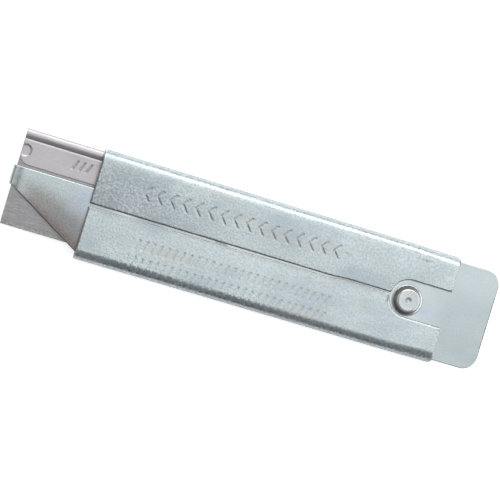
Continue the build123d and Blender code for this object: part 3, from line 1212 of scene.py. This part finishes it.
@dataclass
class RazorBlade(Piece):
    """The blade: a thin plate whose lower edge is ground to a bevel on both sides.

    Attributes:
        bevel, edge: width of the bevel and thickness left at the cutting edge.
        crease_half: half the width over which the flat turns into the bevel.
    """

    bevel: float = 0.8 * MM
    edge: float = 0.02 * MM
    rim: float = 0.03 * MM
    crease_half: float = 0.02 * MM

    def __post_init__(self) -> None:
        """Read the blade's place from the frame."""
        self.low, self.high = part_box(self.node)

    def build(self) -> bpy.types.Object:
        """Make, dress and place the blade.

        The plate is flat; its thickness is full above the bevel and falls in a straight line to the edge.
        """
        full = self.high.z - self.low.z
        crease = self.low.y + self.bevel
        under, over = crease - self.crease_half, crease + self.crease_half
        y = spaced((self.low.y, under, 6), (under, over, 1), (over, self.high.y, 20))[:, None]
        x = np.linspace(self.low.x, self.high.x, 61)
        thickness = np.interp(y, [self.low.y, crease], [self.edge, full])
        middle = grid_points(x, y, (self.low.z + self.high.z) / 2)
        sheet = SheetMetal(middle, thickness, self.rim, self.rim, hold=0.01 * MM)
        made = sheet.build(self.node + "_plate")
        ground = 1.0 - smooth((mesh_points(made)[:, 1] - crease + 0.06 * MM) / (0.08 * MM))
        mark_points(made, "ground", ground)
        return self.place(made, BLADE_STEEL)


@dataclass
class BladeSpine(Piece):
    """The folded strip over the blade's top: bead along the fold, hollow neck, flat legs, crimped ends.

    Attributes:
        bead_reach, neck_run, neck_power: length of the bead and the neck in Y, and how the neck falls.
        corner: radius of the legs' lower corners.
        groove_y: the pressed groove's distance below the top.
        crimp_in, crimp_y: the crimps' middle from each end and from the top; crimp_slope is their wall.
        tick_from, tick_pitch, ticks: where the stamped ticks start, how far apart and how many they are.
    """

    sheet: float = 0.34 * MM
    bead_reach: float = 1.0 * MM
    neck_run: float = 0.90 * MM
    corner: float = 2.0 * MM
    groove_y: float = 2.0 * MM
    groove_depth: float = 0.075 * MM
    groove_width: float = 0.17 * MM
    crimp_radius: float = 1.12 * MM
    crimp_in: float = 0.75 * MM
    crimp_y: float = 4.2 * MM
    crimp_depth: float = 0.17 * MM
    crimp_slope: float = 0.26 * MM
    tick_from: float = 10.6 * MM
    tick_pitch: float = 1.35 * MM
    ticks: int = 3
    tick_lean: float = 0.45
    tick_width: float = 0.16 * MM
    tick_reach: float = 1.0 * MM
    tick_depth: float = 0.12 * MM
    neck_power: float = 1.9
    rim: float = 0.1 * MM

    def __post_init__(self) -> None:
        """Read the spine's place from the frame."""
        self.low, self.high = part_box(self.node)
        self.middle_z = (self.low.z + self.high.z) / 2

    def cross_section(self) -> tuple[Array, Array]:
        """The front half of the fold, from the lower edge of the leg to the top of the bead.

        The bead is a quarter ellipse, bead_reach long in Y; the neck falls away from its crest, steeper and
        steeper, down to the leg, which lies flat on the blade.

        Returns:
            Y and the height above the blade's middle, at each point of the middle line.
        """
        crest = (self.high.z - self.low.z) / 2 - self.sheet / 2
        low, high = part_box("razor_blade")
        leg = (high.z - low.z) / 2 + self.sheet / 2
        crest_y = self.high.y - self.bead_reach
        neck_y = crest_y - self.neck_run
        leg_end, before_neck = self.low.y + 1.0 * MM, neck_y - 0.5 * MM
        flat = spaced(
            (self.low.y, leg_end, 5), (leg_end, before_neck, 26), (before_neck, neck_y, 7)
        )
        neck = np.linspace(neck_y, crest_y, 15)[1:-1]
        climb = (neck - neck_y) / self.neck_run
        turn = np.radians(np.linspace(90.0, 0.0, 17))
        reach = self.bead_reach - self.sheet / 2
        neck_height = leg + (crest - leg) * (1.0 - (1.0 - climb) ** self.neck_power)
        y = np.concatenate([flat, neck, crest_y + reach * np.cos(turn)])
        return y, np.concatenate([np.full_like(flat, leg), neck_height, crest * np.sin(turn)])

    def build(self) -> bpy.types.Object:
        """Make, dress and place the spine.

        The cross-section is carried along X. The legs' lower corners are cut to quarter circles, by drawing
        the legs' points up towards the neck there, and each end is crimped by a round hollow.
        """
        y, height = self.cross_section()
        crimped = 3.0 * MM
        ticks_from = self.low.x + self.tick_from - 1.0 * MM
        ticks_to = self.low.x + self.tick_from + 4.8 * MM
        x = spaced(
            (self.low.x, self.low.x + crimped, 30),
            (self.low.x + crimped, ticks_from, 14),
            (ticks_from, ticks_to, 56),
            (ticks_to, self.high.x - crimped, 40),
            (self.high.x - crimped, self.high.x, 30),
        )
        cut = corner_cut(np.minimum(x - self.low.x, self.high.x - x), self.corner)
        top = self.high.y - self.groove_y
        share = np.clip((top - y) / (top - self.low.y), 0.0, 1.0)
        front = y[:, None] + cut * share[:, None]
        z = np.concatenate([height, -height[-2::-1]])[:, None] + self.middle_z
        middle = grid_points(x, np.concatenate([front, front[-2::-1]]), z)
        sheet = SheetMetal(middle, self.sheet, self.rim, self.rim, self.relief(middle))
        return self.place(sheet.build(self.node + "_fold"), SPINE_STEEL)

    def relief(self, middle: Array) -> Array:
        """Depth of the groove under the bead, of the round crimp near each end and of the three ticks."""
        x, y = middle[..., 0], middle[..., 1]
        depth = self.groove_depth * bell((y - self.high.y + self.groove_y) / self.groove_width)
        above = y - self.high.y + self.crimp_y
        for end in (self.low.x + self.crimp_in, self.high.x - self.crimp_in):
            away = np.hypot(x - end, above)
            depth += self.crimp_depth * (1.0 - smooth((away - self.crimp_radius) / self.crimp_slope + 0.5))
        row = smooth((self.tick_reach - np.abs(above)) / (0.2 * MM))
        for tick in range(self.ticks):
            stroke = x - self.low.x - self.tick_from - tick * self.tick_pitch - self.tick_lean * above
            depth += self.tick_depth * bell(stroke / self.tick_width) * row
        return depth


# ---------------------------------------------------------------------------------------------------------
# Studio
# ---------------------------------------------------------------------------------------------------------


@dataclass(frozen=True)
class Panel:
    """One soft white light: a rectangular panel aimed at the cutter.

    Attributes:
        name: of the lamp.
        place: its centre.
        size: its two sides.
        level: brightness of its face, 1 being white.
    """

    name: str
    place: tuple[float, float, float]
    size: Span
    level: float

    def build(self, target: Vector) -> None:
        """Make the lamp, facing the target; its power is pi times its level times its area."""
        lamp = bpy.data.lights.new(self.name, "AREA")
        lamp.shape = "RECTANGLE"
        lamp.size, lamp.size_y = self.size
        lamp.energy = math.pi * self.level * self.size[0] * self.size[1]
        held = bpy.data.objects.new(self.name, lamp)
        bpy.context.scene.collection.objects.link(held)
        held.location = self.place
        held.rotation_euler = (target - Vector(self.place)).to_track_quat("-Z", "Y").to_euler()


@dataclass(frozen=True)
class Studio:
    """A pale floor, soft panels and a long lens looking almost straight down.

    Attributes:
        floor_half, floor_colour, floor_glow: half a side of the floor, its colour and its own light.
        world_level: brightness of the surround.
        aim, distance: what the camera looks at, and from how far.
        lean_x, lean_y, roll: how it leans from straight down and turns about its sight line, in degrees.
        lens: focal length.
        panels: the lamps.
    """

    floor_half: float = 3.0
    floor_colour: Colour = (0.92, 0.92, 0.92)
    floor_glow: float = 0.60
    world_level: float = 0.25
    aim: tuple[float, float, float] = (-4.28 * MM, 0.32 * MM, 2.0 * MM)
    distance: float = 0.300
    lean_x: float = 8.98
    lean_y: float = -0.61
    roll: float = 16.84
    lens: float = 109.94
    panels: tuple[Panel, ...] = (
        Panel("overhead_panel", (0.14, 0.22, 0.85), (1.05, 0.75), 1.10),
        Panel("spine_side_panel", (0.0, 0.95, 0.60), (1.6, 0.55), 2.8),
        Panel("tail_side_panel", (1.20, 0.15, 0.38), (2.3, 0.55), 2.2),
        Panel("blade_side_panel", (-1.20, 0.0, 0.44), (1.5, 0.50), 0.7),
    )

    def build(self) -> None:
        """Make the floor, world, lights and camera."""
        self.floor()
        self.world()
        for panel in self.panels:
            panel.build(Vector(self.aim))
        self.camera()
        bpy.context.scene.view_settings.view_transform = "Standard"

    def floor(self) -> None:
        """A large square under the cutter, at the height of the sleeve's back."""
        half = self.floor_half
        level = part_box("sleeve")[0].z - 0.01 * MM
        mesh = bpy.data.meshes.new("floor")
        corners = [(-half, -half, level), (half, -half, level), (half, half, level), (-half, half, level)]
        mesh.from_pydata(corners, [], [(0, 1, 2, 3)])
        made = bpy.data.objects.new("floor", mesh)
        bpy.context.scene.collection.objects.link(made)
        paint = bpy.data.materials.new("floor_white")
        paint.use_nodes = True
        shader = paint.node_tree.nodes["Principled BSDF"]
        shader.inputs["Base Color"].default_value = (*self.floor_colour, 1.0)
        shader.inputs["Roughness"].default_value = 0.9
        shader.inputs["Specular IOR Level"].default_value = 0.1
        shader.inputs["Emission Color"].default_value = (1.0, 1.0, 1.0, 1.0)
        shader.inputs["Emission Strength"].default_value = self.floor_glow
        mesh.materials.append(paint)

    def world(self) -> None:
        """An even dim surround."""
        world = bpy.data.worlds.new("surround")
        world.use_nodes = True
        background = world.node_tree.nodes["Background"]
        background.inputs["Color"].default_value = (1.0, 1.0, 1.0, 1.0)
        background.inputs["Strength"].default_value = self.world_level
        bpy.context.scene.world = world

    def camera(self) -> None:
        """The camera: the aim plus distance along the leaning sight line, turned about it by the roll."""
        lean_x, lean_y, roll = (math.radians(a) for a in (self.lean_x, self.lean_y, self.roll))
        back = Vector((-math.sin(lean_x), -math.sin(lean_y), 0.0))
        back.z = math.sqrt(1.0 - back.x**2 - back.y**2)
        right = Vector((0.0, 1.0, 0.0)).cross(back).normalized()
        up = back.cross(right)
        across = right * math.cos(roll) + up * math.sin(roll)
        upward = up * math.cos(roll) - right * math.sin(roll)
        data = bpy.data.cameras.new("long_lens")
        data.lens = self.lens
        data.clip_start, data.clip_end = 0.02, 20.0
        held = bpy.data.objects.new("camera", data)
        bpy.context.scene.collection.objects.link(held)
        turn = Matrix((across, upward, back)).transposed().to_4x4()
        held.matrix_world = Matrix.Translation(Vector(self.aim) + back * self.distance) @ turn
        bpy.context.scene.camera = held


def main() -> None:
    logging.basicConfig(level=logging.INFO, format="%(name)s: %(message)s")
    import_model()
    Sleeve("sleeve", "sleeve_zinc", Body.SLEEVE).build()
    BladeCarrier("blade_carrier", "carrier_zinc", Body.CARRIER).build()
    StopRivet("stop_rivet", "rivet_zinc", Body.CARRIER).build()
    FrictionSpring("friction_spring", "spring_steel", Body.CARRIER).build()
    RazorBlade("razor_blade", "blade_steel", Body.CARRIER).build()
    BladeSpine("blade_spine", "spine_steel", Body.CARRIER).build()
    Studio().build()


if __name__ == "__main__":
    main()
